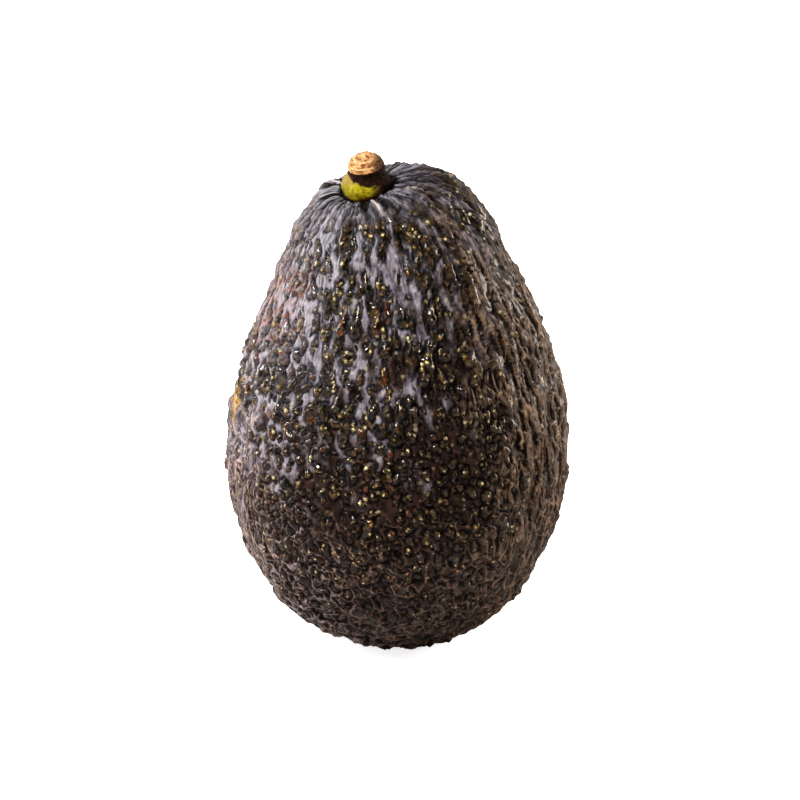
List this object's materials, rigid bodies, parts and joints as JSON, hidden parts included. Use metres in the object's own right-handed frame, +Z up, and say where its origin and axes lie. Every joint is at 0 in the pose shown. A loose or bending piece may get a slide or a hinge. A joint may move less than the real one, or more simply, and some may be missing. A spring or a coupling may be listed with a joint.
{
  "type": "avocado",
  "caption": "Whole ripe pebble-skinned avocado standing on its round end, with the stub of its stem in a socket at the narrow end.",
  "frame": {"origin": "middle of the flat spot that the fruit rests on, under the body's axis", "axes": "+Z up from the blossom end to the stem; -Y towards the side that the stem leans to; +X to its right"},
  "size_m": [0.0731, 0.0724, 0.1078],
  "materials": {
    "skin": "pebbled skin, near-black olive warts with a wet gloss on matte purple-grey bloom, fine golden specks",
    "stem": "dry matte bark, yellow-green swollen collar, dark neck, tan corky cap"
  },
  "bodies": {
    "root": {"fruit": "skin", "stem": "stem"}
  },
  "joints": []
}
